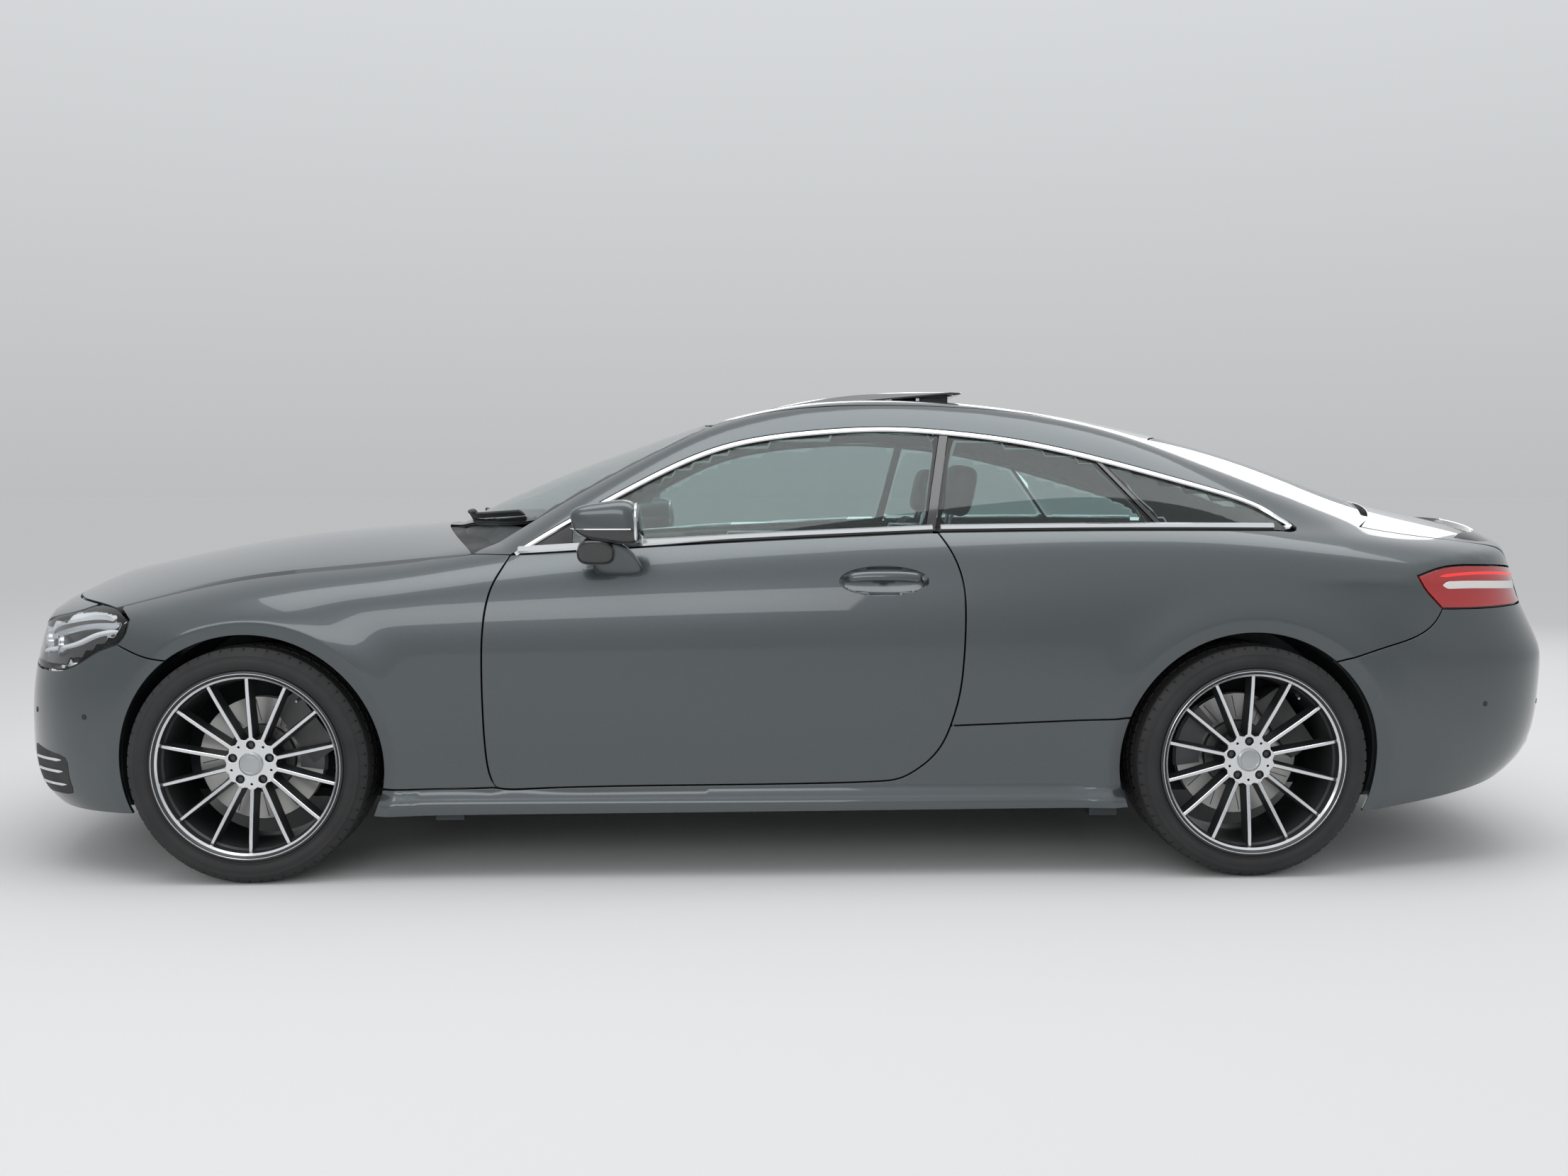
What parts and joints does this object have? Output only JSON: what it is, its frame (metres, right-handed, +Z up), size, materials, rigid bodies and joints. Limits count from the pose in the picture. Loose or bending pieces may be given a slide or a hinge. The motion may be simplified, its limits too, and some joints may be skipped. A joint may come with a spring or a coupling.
{
  "type": "coupe car",
  "caption": "Full-size two-door four-seat coupe with opening doors, bonnet and boot lid, steered front wheels and a tilted glass roof panel.",
  "frame": {"origin": "on the ground at mid-length on the centre plane", "axes": "-X towards the nose, +X towards the tail, -Y the car's left side, +Z up"},
  "size_m": [4.826, 2.016, 1.4477],
  "materials": {
    "paint": "gloss",
    "glass": "gloss",
    "black_trim": "satin",
    "lamp_clear": "gloss",
    "lamp_red": "gloss",
    "chrome": "polished",
    "engine_alloy": "satin",
    "chassis_steel": "satin",
    "cabin_plastic": "matte",
    "seat_leather": "satin",
    "tyre": "matte",
    "rim_alloy": "polished",
    "brake_iron": "machined",
    "carrier_iron": "cast"
  },
  "bodies": {
    "body": {"body_shell": "paint", "front_frame": "paint", "rear_frame": "paint", "floor_pan": "paint", "front_wings": "paint", "front_bumper": "paint", "grille": "black_trim", "headlamps": "lamp_clear", "windscreen": "glass", "rear_window": "glass", "quarter_windows": "glass", "roof_panel": "glass", "rear_bumper": "paint", "tail_lamps": "lamp_red", "exhaust": "chrome", "engine_block": "engine_alloy", "front_subframe": "chassis_steel", "rear_subframe": "chassis_steel", "undertray": "black_trim", "dashboard": "cabin_plastic", "steering_wheel": "cabin_plastic", "centre_console": "cabin_plastic", "front_seats": "seat_leather", "rear_seat": "seat_leather", "knuckle_rear_left": "carrier_iron", "knuckle_rear_right": "carrier_iron"},
    "door_left": {"door_left": "paint", "door_glass_left": "glass", "mirror_left": "paint"},
    "door_right": {"door_right": "paint", "door_glass_right": "glass", "mirror_right": "paint"},
    "bonnet": {"bonnet": "paint"},
    "boot_lid": {"boot_lid": "paint", "boot_lamps": "lamp_red"},
    "knuckle_front_left": {"knuckle_front_left": "carrier_iron"},
    "knuckle_front_right": {"knuckle_front_right": "carrier_iron"},
    "wheel_front_left": {"rim_front_left": "rim_alloy", "tyre_front_left": "tyre", "brake_disc_front_left": "brake_iron"},
    "wheel_front_right": {"rim_front_right": "rim_alloy", "tyre_front_right": "tyre", "brake_disc_front_right": "brake_iron"},
    "wheel_rear_left": {"rim_rear_left": "rim_alloy", "tyre_rear_left": "tyre", "brake_disc_rear_left": "brake_iron"},
    "wheel_rear_right": {"rim_rear_right": "rim_alloy", "tyre_rear_right": "tyre", "brake_disc_rear_right": "brake_iron"}
  },
  "joints": [
    {"name": "steer_left", "type": "hinge", "parent": "body", "child": "knuckle_front_left", "pos_m": [-1.574, -0.8025, 0.34], "axis": [0, 0, 1], "range_deg": [-35, 35]},
    {"name": "wheel_front_left_spin", "type": "hinge", "parent": "knuckle_front_left", "child": "wheel_front_left", "pos_m": [-1.574, -0.8025, 0.34], "axis": [0, 1, 0], "continuous": true},
    {"name": "wheel_rear_left_spin", "type": "hinge", "parent": "body", "child": "wheel_rear_left", "pos_m": [1.299, -0.8045, 0.337], "axis": [0, 1, 0], "continuous": true},
    {"name": "door_left_hinge", "type": "hinge", "parent": "body", "child": "door_left", "pos_m": [-0.908, -0.926, 0.6], "axis": [0, 0, -1], "range_deg": [0, 65]},
    {"name": "steer_right", "type": "hinge", "parent": "body", "child": "knuckle_front_right", "pos_m": [-1.574, 0.8025, 0.34], "axis": [0, 0, 1], "range_deg": [-35, 35]},
    {"name": "wheel_front_right_spin", "type": "hinge", "parent": "knuckle_front_right", "child": "wheel_front_right", "pos_m": [-1.574, 0.8025, 0.34], "axis": [0, 1, 0], "continuous": true},
    {"name": "wheel_rear_right_spin", "type": "hinge", "parent": "body", "child": "wheel_rear_right", "pos_m": [1.299, 0.8045, 0.337], "axis": [0, 1, 0], "continuous": true},
    {"name": "door_right_hinge", "type": "hinge", "parent": "body", "child": "door_right", "pos_m": [-0.908, 0.926, 0.6], "axis": [0, 0, 1], "range_deg": [0, 65]},
    {"name": "bonnet_hinge", "type": "hinge", "parent": "body", "child": "bonnet", "pos_m": [-0.92, 0, 0.93], "axis": [0, 1, 0], "range_deg": [0, 60]},
    {"name": "boot_lid_hinge", "type": "hinge", "parent": "body", "child": "boot_lid", "pos_m": [1.7, 0, 1.05], "axis": [0, -1, 0], "range_deg": [0, 80]}
  ],
  "couplings": [
    {"joint": "steer_right", "follows": "steer_left", "ratio": 1}
  ]
}
